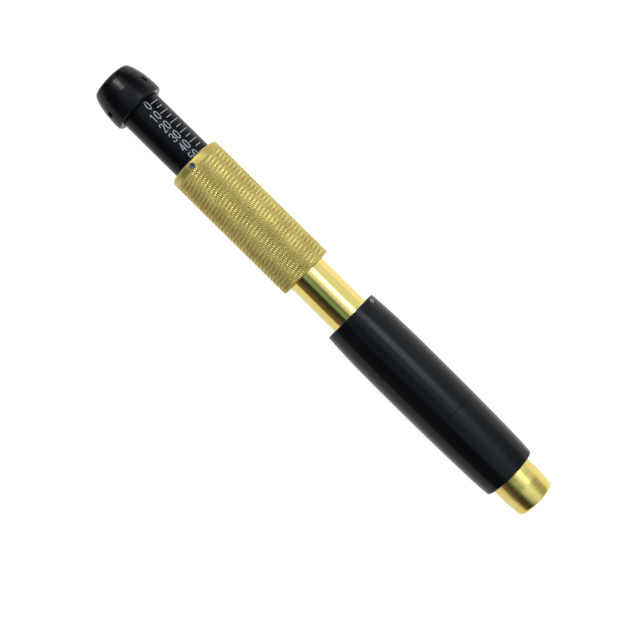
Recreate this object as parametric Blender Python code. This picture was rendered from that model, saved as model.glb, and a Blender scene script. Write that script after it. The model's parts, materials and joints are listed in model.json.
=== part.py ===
"""Spring-driven needle-free dosing pen, with a dose scale from 0 to 50.

The pen lies along X, with its nose towards +X and the origin at the centre of the nose face.
A station is a distance behind the nose face, so a point at station s lies at x = -s.
Lengths are written in millimetres and become metres in point().
"""
import math

import bmesh
import bpy
from mathutils import Matrix, Vector

# driving dimensions, millimetres
MM = 0.001
OVERALL = 205.2
GRIP_FRONT = 13.1
GRIP_SEAM = 42.2
GRIP_FULLEST = 58.0
GRIP_REAR = 90.0
SLEEVE_FRONT = 111.1
SLEEVE_REAR = 165.4

NOSE_R = 8.06
GRIP_FRONT_DROP = 0.7
GRIP_LIP_DROP = 0.3
GRIP_END_R = 10.55
GRIP_MID_R = 11.39
GRIP_BORE_R = 9.5
TUBE_R = 7.56
SLEEVE_R = 10.35
SCALE_TUBE_R = 7.67
KNOB_R = 9.95

SOCKET_R = 4.75
SOCKET_DEPTH = 10.0
HAMMER_BORE_R = 5.2
ROD_R = 2.5
PULL_STROKE = 20.5
DOSE_TRAVEL = 23.0
HAMMER_STROKE = 27.0
PRESS_TRAVEL = 2.3
BALL_LIFT = 0.6

GAP = 0.3
RUNNING = 0.15
TUBE_BORE_R = TUBE_R + RUNNING
SCALE_BORE_R = SCALE_TUBE_R + RUNNING
KNOB_SKIRT = SLEEVE_REAR + DOSE_TRAVEL + PRESS_TRAVEL + 2 * GAP
OUTER_SIDES = 32
INNER_SIDES = 20

# stations of the inner pieces
TUBE_REAR = 120.7
COUNTERBORE = TUBE_REAR - DOSE_TRAVEL - GAP
HAMMER_FRONT = 56.3
HAMMER_REAR = 68.0
PIN_STATION = 58.2
PIN_R = 1.5
STOP_STATION = 50.0
LATCH_STATION = 150.0
LATCH_BALL_R = 0.9
LATCH_BALL_IN = 2.55
STEM_R = 1.6
HEAD_R = 2.2
HEAD_FRONT = LATCH_STATION + LATCH_BALL_R + 0.4 - HAMMER_STROKE
CONE_SLOPE = BALL_LIFT / PRESS_TRAVEL
INDEX_STATION = 163.6
INDEX_ANGLE = -8.5
GRIP_SCREW_STATION = 88.4
GRIP_SCREW_ANGLE = 57.7
SCALE_TUBE_REAR = 192.4
KNOB_FLOOR = SCALE_TUBE_REAR + PRESS_TRAVEL + 0.4
KNOB_SCREW_STATION = 196.6
KNOB_SCREW_ANGLE = 57.7
RELEASE_R = 4.9
STOP_RING_STATION = 181.7
STOP_RING_WIDTH = 1.5


def point(station, radius, angle=0.0):
    """A point in metres: behind the nose, out from the axis, angle in degrees from +Z to +Y."""
    turn = math.radians(angle)
    return Vector((-station, radius * math.sin(turn), radius * math.cos(turn))) * MM


def material(name, colour, roughness, metallic=0.0):
    made = bpy.data.materials.new(name)
    made.use_nodes = True
    shader = made.node_tree.nodes["Principled BSDF"]
    shader.inputs["Base Color"].default_value = (*colour, 1.0)
    shader.inputs["Roughness"].default_value = roughness
    shader.inputs["Metallic"].default_value = metallic
    return made


def place(bm, name, finish):
    """Turn a bmesh into a named, smoothly shaded object with its faces pointing out."""
    bmesh.ops.remove_doubles(bm, verts=bm.verts, dist=1e-6)
    bmesh.ops.recalc_face_normals(bm, faces=bm.faces)
    mesh = bpy.data.meshes.new(name)
    bm.to_mesh(mesh)
    bm.free()
    mesh.shade_smooth()
    mesh.set_sharp_from_angle(angle=math.radians(35))
    mesh.materials.append(finish)
    made = bpy.data.objects.new(name, mesh)
    bpy.context.collection.objects.link(made)
    return made


def turned(name, outline, finish, sides=INNER_SIDES, sweep=360.0):
    """Spin a section about the X axis. The outline is a loop of (station, radius) points.

    A sweep below 360 degrees leaves a gap, as in a snap ring.
    """
    bm = bmesh.new()
    corners = [bm.verts.new(point(station, radius)) for station, radius in outline]
    full = sweep >= 360.0
    if full:
        pairs = zip(corners, corners[1:] + corners[:1])
        section = [bm.edges.new(pair) for pair in pairs if pair_off_axis(*pair)]
    else:
        face = bm.faces.new(corners)
        section = [face, *face.edges]
    bmesh.ops.spin(
        bm,
        geom=corners + section,
        cent=(0, 0, 0),
        axis=(1, 0, 0),
        angle=math.radians(sweep),
        steps=sides,
        use_merge=full,
    )
    return place(bm, name, finish)


def pair_off_axis(first, second):
    """Whether an edge of a section sweeps a surface, which one along the axis does not."""
    return first.co.yz.length > 1e-7 or second.co.yz.length > 1e-7


def radial_rod(name, station, angle, inner, outer, radius, finish, sides=14):
    """A round rod that stands out from the axis."""
    bm = bmesh.new()
    bmesh.ops.create_cone(
        bm,
        cap_ends=True,
        segments=sides,
        radius1=radius * MM,
        radius2=radius * MM,
        depth=(outer - inner) * MM,
    )
    turn = Matrix.Rotation(math.radians(-angle), 4, "X")
    middle = point(station, (inner + outer) / 2, angle)
    bmesh.ops.transform(bm, matrix=Matrix.Translation(middle) @ turn, verts=bm.verts)
    return place(bm, name, finish)


def hex_socket(name, station, angle, inner, outer, radius):
    """A six-sided cutter for the wrench socket of a set screw."""
    finish = material(name, (0.8, 0.1, 0.1), 0.5)
    return radial_rod(name, station, angle, inner, outer, radius, finish, 6)


def cut(piece, cutter):
    """Take one solid out of another with a Boolean modifier."""
    cutter.hide_render = True
    cutter.display_type = "WIRE"
    boolean = piece.modifiers.new("cut_" + cutter.name, "BOOLEAN")
    boolean.operation = "DIFFERENCE"
    boolean.solver = "EXACT"
    boolean.object = cutter


def ball(name, station, radius_out, angle, radius, finish):
    bm = bmesh.new()
    bmesh.ops.create_uvsphere(bm, u_segments=10, v_segments=7, radius=radius * MM)
    made = place(bm, name, finish)
    made.location = point(station, radius_out, angle)
    return made


def coil_spring(name, front, rear, mean_r, wire_r, turns, finish, steps=12, ring=5):
    """A compression spring: a wire ring swept along a helix, with flat capped ends."""
    bm = bmesh.new()
    count = int(turns * steps)
    start = front + wire_r
    travel = rear - front - 2 * wire_r
    loops = []
    for index in range(count + 1):
        share = index / count
        angle = 360.0 * turns * share
        station = start + travel * share
        loop = []
        for corner in range(ring):
            around = 2 * math.pi * corner / ring
            offset_r = wire_r * math.cos(around)
            offset_s = wire_r * math.sin(around)
            loop.append(bm.verts.new(point(station + offset_s, mean_r + offset_r, angle)))
        loops.append(loop)
    for before, after in zip(loops, loops[1:]):
        for corner in range(ring):
            other = (corner + 1) % ring
            bm.faces.new((before[corner], before[other], after[other], after[corner]))
    bm.faces.new(loops[0])
    bm.faces.new(loops[-1])
    return place(bm, name, finish)


def grip_radius(station):
    """Outer radius of the barrel-shaped grip: two flanks that meet at its fullest place."""
    if station < GRIP_FULLEST:
        share = (GRIP_FULLEST - station) / (GRIP_FULLEST - GRIP_FRONT)
        return GRIP_MID_R - GRIP_FRONT_DROP * share**2.1 - GRIP_LIP_DROP * share**14
    share = (station - GRIP_FULLEST) / (GRIP_REAR - GRIP_FULLEST)
    return GRIP_MID_R - (GRIP_MID_R - GRIP_END_R) * share**3.05


def grip_line(front, rear, steps):
    """Outer points of the grip between two stations."""
    stations = [front + (rear - front) * n / steps for n in range(steps + 1)]
    return [(station, grip_radius(station)) for station in stations]


def make_nose(gold, rubber, polymer):
    """The nose that takes the ampoule, its seal, and the bush that guides the plunger rod."""
    rim_steps = [math.radians(30 * n) for n in range(4)]
    rim = [(1.1 - 1.1 * math.cos(a), 6.55 + 1.1 * math.sin(a)) for a in rim_steps]
    turned(
        "nose_socket",
        rim
        + [(2.7, 7.84), (4.1, 7.95), (5.5, 8.06), (7.0, 8.16), (8.2, 8.13), (9.6, 8.08)]
        + [(GRIP_FRONT - GAP, NOSE_R)]
        + [(GRIP_FRONT - GAP, 5.0), (26.0, 5.0), (26.0, 3.6), (14.0, 3.6), (14.0, 2.9)]
        + [(SOCKET_DEPTH, 2.9), (SOCKET_DEPTH, SOCKET_R), (7.6, SOCKET_R), (7.6, 5.7)]
        + [(5.8, 5.7), (5.8, SOCKET_R), (0.6, SOCKET_R), (0.0, SOCKET_R + 0.5)],
        gold,
        OUTER_SIDES,
    )
    turned("socket_seal", o_ring(6.7, 5.06, 0.46), rubber, OUTER_SIDES)
    turned("rod_guide", [(16.0, 2.65), (16.0, 3.4), (25.5, 3.4), (25.5, 2.65)], polymer)


def o_ring(station, mean_r, cord_r, corners=6):
    """Section of a rubber ring."""
    turns = [2 * math.pi * n / corners for n in range(corners)]
    return [(station + cord_r * math.cos(a), mean_r + cord_r * math.sin(a)) for a in turns]


def make_barrel(gold, steel, polymer):
    """The inner tube that the grip slides on, with its slots, snap ring and hammer stop."""
    tube = turned(
        "main_tube",
        [(GRIP_FRONT, TUBE_R - 0.3), (GRIP_FRONT + 0.3, TUBE_R), (STOP_STATION - RUNNING, TUBE_R)]
        + [(STOP_STATION - RUNNING, 6.5), (STOP_STATION + 1.65, 6.5)]
        + [(STOP_STATION + 1.65, TUBE_R), (TUBE_REAR, TUBE_R), (TUBE_REAR, 6.15)]
        + [(COUNTERBORE, 6.15), (COUNTERBORE, HAMMER_BORE_R), (GRIP_FRONT, HAMMER_BORE_R)],
        gold,
        OUTER_SIDES,
    )
    cut(tube, slot_cutter("pin_slots", PIN_STATION, PIN_STATION + PULL_STROKE))
    turned(
        "grip_spring_stop",
        [(STOP_STATION, 6.7), (STOP_STATION, 9.2), (STOP_STATION + 1.5, 9.2)]
        + [(STOP_STATION + 1.5, 6.7)],
        steel,
        sweep=335.0,
    )
    bumper_rear = HAMMER_FRONT - GAP
    turned(
        "hammer_bumper",
        [(50.0, 3.2), (50.0, 5.0), (bumper_rear - 0.5, 5.0), (bumper_rear, 4.5)]
        + [(bumper_rear, 3.2)],
        polymer,
    )


def slot_cutter(name, front, rear):
    """A bar with round ends across the tube that opens both slots for the cocking pins."""
    half_width = PIN_R + 0.2
    bm = bmesh.new()
    corners = []
    for centre, first in ((front, 90.0), (rear, -90.0)):
        for step in range(7):
            turn = math.radians(first + 180.0 * step / 6)
            across = half_width * math.sin(turn)
            along = centre + (half_width + 0.1) * math.cos(turn)
            corners.append(bm.verts.new(Vector((-along, -12.0, across)) * MM))
    face = bm.faces.new(corners)
    side = bmesh.ops.extrude_face_region(bm, geom=[face])
    moved = [item for item in side["geom"] if isinstance(item, bmesh.types.BMVert)]
    bmesh.ops.translate(bm, verts=moved, vec=Vector((0, 24.0, 0)) * MM)
    return place(bm, name, material(name, (0.8, 0.1, 0.1), 0.5))


def make_sleeve(gold, steel, dark_steel, rubber, bronze):
    """The knurled sleeve with its dose nut, friction ring and index detent."""
    sleeve = turned(
        "knurled_sleeve",
        [(SLEEVE_FRONT, TUBE_BORE_R), (SLEEVE_FRONT, SLEEVE_R - 0.25)]
        + [(SLEEVE_FRONT + 0.25, SLEEVE_R)]
        + [(SLEEVE_REAR - 0.9, SLEEVE_R), (SLEEVE_REAR - 0.26, SLEEVE_R - 0.26)]
        + [(SLEEVE_REAR, SLEEVE_R - 0.9), (SLEEVE_REAR, SCALE_BORE_R), (160.2, SCALE_BORE_R)]
        + [(160.2, 8.65), (158.2, 8.65), (158.2, SCALE_BORE_R), (120.9, SCALE_BORE_R)]
        + [(120.9, TUBE_BORE_R)],
        gold,
        OUTER_SIDES,
    )
    cutter = radial_rod("index_hole", INDEX_STATION, INDEX_ANGLE, 6.0, 11.0, 1.15, dark_steel)
    cut(sleeve, cutter)
    screw = radial_rod("index_screw", INDEX_STATION, INDEX_ANGLE, 9.05, 10.15, 0.93, dark_steel)
    cut(screw, hex_socket("index_socket", INDEX_STATION, INDEX_ANGLE, 9.6, 11.0, 0.45))
    ball("click_ball", INDEX_STATION, 8.36, INDEX_ANGLE, 0.62, steel)
    turned(
        "dose_nut",
        [(121.1, 6.15), (121.1, 7.45), (126.5, 7.45), (126.5, 6.15)],
        bronze,
    )
    turned("sleeve_o_ring", o_ring(159.2, 8.2, 0.42), rubber, OUTER_SIDES)


def make_grip(black, steel, bronze):
    """The sliding grip: two shells that screw together, bush, cocking ring and its two pins."""
    turned(
        "grip_front_shell",
        [(GRIP_FRONT, TUBE_BORE_R), (GRIP_FRONT, grip_radius(GRIP_FRONT) - 0.3)]
        + grip_line(GRIP_FRONT + 0.3, GRIP_SEAM - 0.1, 9)
        + [(GRIP_SEAM - 0.1, 10.25), (GRIP_SEAM + 5.0, 10.25), (GRIP_SEAM + 5.0, GRIP_BORE_R)]
        + [(19.5, GRIP_BORE_R), (19.5, TUBE_BORE_R)],
        black,
        OUTER_SIDES,
    )
    rear_shell = turned(
        "grip_rear_shell",
        grip_line(GRIP_SEAM + 0.1, GRIP_REAR - 0.3, 12)
        + [(GRIP_REAR, GRIP_END_R - 0.3), (GRIP_REAR, GRIP_BORE_R)]
        + [(GRIP_SEAM + 5.3, GRIP_BORE_R)]
        + [(GRIP_SEAM + 5.3, 10.5), (GRIP_SEAM + 0.1, 10.5)],
        black,
        OUTER_SIDES,
    )
    bush = turned(
        "grip_rear_bush",
        [(81.5, TUBE_BORE_R), (81.5, 9.35), (GRIP_REAR - 0.2, 9.35)]
        + [(GRIP_REAR - 0.2, TUBE_BORE_R)],
        bronze,
    )
    screw_place = (GRIP_SCREW_STATION, GRIP_SCREW_ANGLE)
    screw_top = grip_radius(GRIP_SCREW_STATION) - 0.12
    hole = radial_rod("grip_screw_hole", *screw_place, 8.2, 12.0, 1.1, steel)
    cut(rear_shell, hole)
    cut(bush, hole)
    screw = radial_rod("grip_screw", *screw_place, 8.4, screw_top, 0.93, steel)
    cut(screw, hex_socket("grip_screw_socket", *screw_place, 9.7, 12.0, 0.45))
    ring = turned(
        "cocking_ring",
        [(54.0, TUBE_BORE_R), (54.0, 9.3), (62.5, 9.3), (62.5, TUBE_BORE_R)],
        bronze,
        OUTER_SIDES,
    )
    for letter, angle in (("a", 90.0), ("b", -90.0)):
        name = "cocking_pin_" + letter
        cut(ring, radial_rod(name + "_hole", PIN_STATION, angle, 6.0, 10.0, PIN_R + 0.2, steel))
        radial_rod(name, PIN_STATION, angle, 3.2, 9.1, PIN_R, steel)
    coil_spring("grip_return_spring", 19.8, STOP_STATION - GAP, 8.45, 0.55, 7.5, steel)


def make_hammer(steel, polymer):
    """The hammer with its latch stem and the rod that drives the ampoule's plunger."""
    turned(
        "hammer",
        [(HAMMER_FRONT, 1.9), (HAMMER_FRONT, 3.0), (60.0, 3.0), (60.0, 5.0)]
        + [(HAMMER_REAR, 5.0), (HAMMER_REAR, 1.85), (63.5, 1.85), (63.5, 0.0)]
        + [(62.0, 0.0), (62.0, 1.9)],
        steel,
    )
    turned(
        "latch_stem",
        [(63.8, 0.0), (63.8, STEM_R), (HEAD_FRONT, STEM_R), (HEAD_FRONT, HEAD_R)]
        + [(HEAD_FRONT + 0.7, HEAD_R), (HEAD_FRONT + 1.5, STEM_R - 0.2), (HEAD_FRONT + 1.5, 0.0)],
        steel,
        16,
    )
    turned(
        "plunger_rod",
        [(14.5, ROD_R), (HAMMER_FRONT - GAP, ROD_R), (HAMMER_FRONT - GAP, 1.6), (61.7, 1.6)]
        + [(61.7, 0.0), (18.0, 0.0), (18.0, 1.25), (14.5, 1.25)],
        steel,
        16,
    )
    turned(
        "rod_tip",
        [(10.5, 0.0), (10.5, 2.0), (10.9, 2.4), (14.2, 2.4), (14.2, 0.95), (17.6, 0.95)]
        + [(17.6, 0.0)],
        polymer,
        16,
    )
    coil_spring("main_spring", HAMMER_REAR + GAP, 139.3, 4.2, 0.7, 17.0, steel)


def make_dose_tube(black, steel, bronze):
    """The rotating scale tube with its lead screw, the latch ball cage and the tail plug."""
    turned(
        "thrust_washer",
        [(139.6, 2.6), (139.6, 4.95), (140.7, 4.95), (140.7, 2.6)],
        bronze,
    )
    turned(
        "graduated_tube",
        [(150.0, 6.3), (150.0, SCALE_TUBE_R - 0.3), (150.3, SCALE_TUBE_R)]
        + [(SCALE_TUBE_REAR - 0.3, SCALE_TUBE_R), (SCALE_TUBE_REAR, SCALE_TUBE_R - 0.3)]
        + [(SCALE_TUBE_REAR, 6.3)],
        black,
        OUTER_SIDES,
    )
    turned(
        "dose_screw",
        [(TUBE_REAR, HAMMER_BORE_R), (TUBE_REAR, 5.75), (TUBE_REAR + 0.25, 6.0), (160.0, 6.0)]
        + [(160.0, HAMMER_BORE_R)],
        steel,
        24,
    )
    cage = turned(
        "ball_cage",
        [(141.0, 2.35), (141.0, 5.0), (145.0, 5.0), (145.0, 3.1), (155.0, 3.1)]
        + [(155.0, 2.35)],
        steel,
    )
    for number, angle in enumerate((0.0, 120.0, 240.0), 1):
        hole = radial_rod(f"ball_hole_{number}", LATCH_STATION, angle, 1.9, 4.2, 1.05, steel, 12)
        cut(cage, hole)
        ball(f"latch_ball_{number}", LATCH_STATION, LATCH_BALL_IN, angle, LATCH_BALL_R, steel)
    plug_front = STOP_RING_STATION + STOP_RING_WIDTH + GAP
    turned(
        "tail_plug",
        [(plug_front, 5.1), (plug_front, 6.1), (SCALE_TUBE_REAR - GAP, 6.1)]
        + [(SCALE_TUBE_REAR - GAP, 5.1)],
        bronze,
    )


def make_trigger(black, steel, dark_steel):
    """The knob on the rear end, pressed as the trigger, and the sleeve that frees the latch."""
    knob = turned(
        "trigger_knob",
        [(KNOB_SKIRT, SCALE_BORE_R), (KNOB_SKIRT, 9.4), (191.8, 9.82), (192.9, KNOB_R)]
        + [(194.4, KNOB_R), (196.0, 9.86), (198.5, 9.62), (201.0, 9.13), (203.0, 8.57)]
        + [(204.4, 8.0), (205.0, 7.6), (OVERALL, 7.2), (OVERALL, 0.0)]
        + [(202.6, 0.0), (202.6, 5.2), (KNOB_FLOOR, 5.2), (KNOB_FLOOR, SCALE_BORE_R)],
        black,
        OUTER_SIDES,
    )
    for number in range(3):
        angle = KNOB_SCREW_ANGLE + 120.0 * number
        name = f"knob_screw_{number + 1}"
        cut(knob, radial_rod(name + "_hole", KNOB_SCREW_STATION, angle, 4.5, 11.0, 0.95, steel, 12))
        screw = radial_rod(name, KNOB_SCREW_STATION, angle, 5.25, 8.9, 0.8, dark_steel, 12)
        cut(screw, hex_socket(name + "_socket", KNOB_SCREW_STATION, angle, 8.1, 11.0, 0.4))
    at_ball = LATCH_BALL_IN + LATCH_BALL_R / math.cos(math.atan(CONE_SLOPE)) + 0.11
    front = at_ball - CONE_SLOPE
    wide = at_ball + CONE_SLOPE * 3.0
    ring_rear = STOP_RING_STATION + STOP_RING_WIDTH
    groove_front = STOP_RING_STATION - 0.2
    groove_rear = ring_rear + 0.2
    turned(
        "trigger_tube",
        [(147.9, front), (147.9, RELEASE_R), (groove_front, RELEASE_R), (groove_front, 4.3)]
        + [(groove_rear, 4.3), (groove_rear, RELEASE_R), (202.3, RELEASE_R), (202.3, 2.6)]
        + [(158.8, 2.6), (158.2, wide), (LATCH_STATION + 3.0, wide), (LATCH_STATION - 1.0, front)],
        steel,
    )
    turned(
        "trigger_stop_ring",
        [(STOP_RING_STATION, 4.5), (STOP_RING_STATION, 6.0), (ring_rear, 6.0), (ring_rear, 4.5)],
        steel,
        sweep=335.0,
    )
    spring_rear = STOP_RING_STATION - GAP
    coil_spring("trigger_return_spring", 160.3, spring_rear, 5.55, 0.33, 8.0, steel)


def main():
    for leftover in list(bpy.data.objects):
        bpy.data.objects.remove(leftover, do_unlink=True)
    satin_gold = material("satin_gold", (0.72, 0.60, 0.30), 0.38, 1.0)
    polished_gold = material("polished_gold", (0.86, 0.70, 0.33), 0.12, 1.0)
    black = material("black_anodised", (0.02, 0.021, 0.025), 0.42)
    steel = material("steel", (0.62, 0.62, 0.60), 0.3, 1.0)
    dark_steel = material("dark_steel", (0.16, 0.18, 0.22), 0.35, 1.0)
    bronze = material("bearing_bronze", (0.55, 0.38, 0.20), 0.4, 1.0)
    rubber = material("seal_rubber", (0.03, 0.03, 0.03), 0.7)
    polymer = material("white_polymer", (0.82, 0.81, 0.77), 0.5)
    make_nose(satin_gold, rubber, polymer)
    make_barrel(polished_gold, steel, polymer)
    make_sleeve(satin_gold, steel, dark_steel, rubber, bronze)
    make_grip(black, steel, bronze)
    make_hammer(steel, polymer)
    make_dose_tube(black, steel, bronze)
    make_trigger(black, steel, dark_steel)


main()
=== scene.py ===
"""Looks of a spring-driven needle-free dosing pen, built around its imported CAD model.

The pen lies along X with its nose towards +X. A station is a distance in millimetres behind the
nose face, so station s lies at x = -s / 1000, and an angle turns from +Z towards +Y.
"""
import json
import math

import bmesh
import bpy
from mathutils import Matrix, Vector


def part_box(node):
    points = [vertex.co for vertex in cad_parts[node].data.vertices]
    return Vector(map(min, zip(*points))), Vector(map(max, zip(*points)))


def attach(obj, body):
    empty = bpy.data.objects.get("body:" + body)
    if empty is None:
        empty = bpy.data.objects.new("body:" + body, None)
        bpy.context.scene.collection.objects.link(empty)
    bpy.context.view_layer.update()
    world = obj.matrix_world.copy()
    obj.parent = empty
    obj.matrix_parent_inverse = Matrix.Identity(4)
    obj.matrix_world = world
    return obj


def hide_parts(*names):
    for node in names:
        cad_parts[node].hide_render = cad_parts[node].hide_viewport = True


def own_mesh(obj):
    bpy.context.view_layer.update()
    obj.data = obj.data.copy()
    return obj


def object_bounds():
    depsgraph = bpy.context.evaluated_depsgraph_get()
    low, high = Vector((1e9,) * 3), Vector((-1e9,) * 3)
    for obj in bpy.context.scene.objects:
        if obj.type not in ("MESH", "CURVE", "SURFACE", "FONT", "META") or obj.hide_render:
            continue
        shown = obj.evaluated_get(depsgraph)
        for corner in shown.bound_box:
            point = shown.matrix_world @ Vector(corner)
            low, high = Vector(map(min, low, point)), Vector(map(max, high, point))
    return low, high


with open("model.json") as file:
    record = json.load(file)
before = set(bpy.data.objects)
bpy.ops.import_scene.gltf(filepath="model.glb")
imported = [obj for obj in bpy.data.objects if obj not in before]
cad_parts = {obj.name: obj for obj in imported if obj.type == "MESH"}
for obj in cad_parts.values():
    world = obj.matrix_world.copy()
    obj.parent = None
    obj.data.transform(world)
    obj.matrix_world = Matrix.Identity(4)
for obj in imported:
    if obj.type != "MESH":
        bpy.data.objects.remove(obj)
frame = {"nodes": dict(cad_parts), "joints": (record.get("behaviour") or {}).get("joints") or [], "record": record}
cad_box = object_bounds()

MM = 0.001
SIDES = 160
# the gap between a tube and the bore it slides in
RUNNING = 0.15


def span(node):
    """Front station, rear station and outer radius of a turned CAD node, in millimetres."""
    low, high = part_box(node)
    return -high.x / MM, -low.x / MM, high.z / MM


def middle(node):
    """Station, angle and least and greatest distance from the axis of a small radial CAD node."""
    low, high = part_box(node)
    centre = (low + high) / 2
    points = [vertex.co.yz for vertex in frame["nodes"][node].data.vertices]
    reach = [point.length / MM for point in points]
    outward = sum((Vector(point) for point in points), Vector((0, 0)))
    angle = math.degrees(math.atan2(outward.x, outward.y))
    return -centre.x / MM, angle, min(reach), max(reach)


NOSE_FRONT, SPIGOT_REAR, _ = span("nose_socket")
TUBE_FRONT, TUBE_REAR, TUBE_R = span("main_tube")
SLEEVE_FRONT, SLEEVE_REAR, SLEEVE_R = span("knurled_sleeve")
GRIP_FRONT, SPIGOT_END, FRONT_SHELL_R = span("grip_front_shell")
SEAM_REAR, GRIP_REAR, GRIP_MID_R = span("grip_rear_shell")
SCALE_FRONT, SCALE_REAR, SCALE_R = span("graduated_tube")
KNOB_SKIRT, OVERALL, KNOB_R = span("trigger_knob")
NOSE_REAR = GRIP_FRONT - 0.3
NOSE_END_R = 8.06
GRIP_END_R = 10.55
GRIP_SEAM = SEAM_REAR - 0.1
TUBE_BORE_R = TUBE_R + RUNNING
SCALE_BORE_R = SCALE_R + RUNNING


def travel(joint_name):
    """How far a slide moves its child at its upper limit, in millimetres."""
    joint = next(joint for joint in frame["joints"] if joint["name"] == joint_name)
    return joint["range_m"][1] / MM


# ---------------------------------------------------------------- shapes

def point(station, radius, angle=0.0):
    """A point in metres: behind the nose, out from the axis, angle in degrees from +Z to +Y."""
    turn = math.radians(angle)
    return Vector((-station, radius * math.sin(turn), radius * math.cos(turn))) * MM


def link(bm, name, sharp=32.0):
    """Turn a bmesh into a smoothly shaded object with its faces pointing out."""
    bmesh.ops.remove_doubles(bm, verts=bm.verts, dist=1e-6)
    bmesh.ops.recalc_face_normals(bm, faces=bm.faces)
    mesh = bpy.data.meshes.new(name)
    bm.to_mesh(mesh)
    bm.free()
    made = bpy.data.objects.new(name, mesh)
    bpy.context.collection.objects.link(made)
    shade(made, sharp)
    return made


def shade(piece, sharp=32.0):
    piece.data.shade_smooth()
    piece.data.set_sharp_from_angle(angle=math.radians(sharp))


def rounded(corners, steps=4):
    """Outline points from (station, radius, fillet) corners, with an arc at each filleted one."""
    outline = []
    for index, (station, radius, fillet) in enumerate(corners):
        here = Vector((station, radius))
        back = Vector(corners[index - 1][:2]) - here
        ahead = Vector(corners[(index + 1) % len(corners)][:2]) - here
        if fillet == 0:
            outline.append(tuple(here))
            continue
        half = max(back.angle(ahead) / 2, 0.05)
        run = min(fillet / math.tan(half), 0.48 * min(back.length, ahead.length))
        first = here + back.normalized() * run
        last = here + ahead.normalized() * run
        for step in range(steps + 1):
            share = step / steps
            outline.append(tuple(first.lerp(here, share).lerp(here.lerp(last, share), share)))
    return outline


def turned(name, outline, sides=SIDES):
    """Spin a closed (station, radius) outline about the X axis."""
    bm = bmesh.new()
    rings = []
    for station, radius in outline:
        on_axis = radius < 1e-6
        angles = [0.0] if on_axis else [360.0 * n / sides for n in range(sides)]
        rings.append([bm.verts.new(point(station, radius, angle)) for angle in angles])
    for near, far in zip(rings, rings[1:] + rings[:1]):
        for n in range(sides):
            following = (n + 1) % sides
            if len(near) == 1 and len(far) == 1:
                break
            if len(near) == 1:
                bm.faces.new((near[0], far[n], far[following]))
            elif len(far) == 1:
                bm.faces.new((near[n], near[following], far[0]))
            else:
                bm.faces.new((near[n], near[following], far[following], far[n]))
    return link(bm, name)


def radial_solid(name, station, angle, rings, sides=48):
    """A solid that stands out from the axis, made of (distance, radius, corners) rings.

    A ring of 6 corners is a hexagon, and one of 0 corners a circle.
    """
    bm = bmesh.new()
    loops = []
    for distance, radius, corners in rings:
        loop = []
        for n in range(sides):
            turn = 2 * math.pi * n / sides
            reach = radius
            if corners:
                wedge = 2 * math.pi / corners
                reach = radius * math.cos(wedge / 2) / math.cos(turn % wedge - wedge / 2)
            loop.append(bm.verts.new((reach * math.cos(turn) * MM, reach * math.sin(turn) * MM,
                                      distance * MM)))
        loops.append(loop)
    for lower, upper in zip(loops, loops[1:]):
        for n in range(sides):
            other = (n + 1) % sides
            bm.faces.new((lower[n], lower[other], upper[other], upper[n]))
    bm.faces.new(loops[0])
    bm.faces.new(loops[-1])
    to_place = Matrix.Translation(point(station, 0)) @ Matrix.Rotation(math.radians(-angle), 4, "X")
    bmesh.ops.transform(bm, matrix=to_place, verts=bm.verts)
    return link(bm, name)


def carve(piece, cutter):
    """Cut a solid out of a piece for good, and remove the cutter."""
    boolean = piece.modifiers.new("cut", "BOOLEAN")
    boolean.operation = "DIFFERENCE"
    boolean.solver = "EXACT"
    boolean.object = cutter
    depsgraph = bpy.context.evaluated_depsgraph_get()
    carved = bpy.data.meshes.new_from_object(piece.evaluated_get(depsgraph))
    piece.modifiers.clear()
    piece.data = carved
    bpy.data.objects.remove(cutter, do_unlink=True)
    shade(piece)


def grub_screw(name, node, radius, socket):
    """A grub screw in place of its CAD node: broken edges and a countersunk hexagon socket."""
    station, angle, low, high = middle(node)
    low = max(low, 0.1)
    foot_edge, top_edge = 0.15, 0.12
    sink, socket_depth = 0.06, 0.75
    return radial_solid(name, station, angle, [
        (low, radius - foot_edge, 0), (low + foot_edge, radius, 0),
        (high - top_edge, radius, 0), (high, radius - top_edge, 0),
        (high, socket * 1.12, 0), (high - sink, socket, 6), (high - socket_depth, socket, 6),
    ])


def hole_cutter(station, angle, inner, outer, radius):
    """A round cutter that widens outside the outer distance, which countersinks the hole."""
    flare = 1.5
    return radial_solid("cutter", station, angle, [
        (inner, radius, 0), (outer, radius, 0), (outer + flare, radius + flare, 0),
    ], 64)


# ---------------------------------------------------------------- materials

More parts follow.
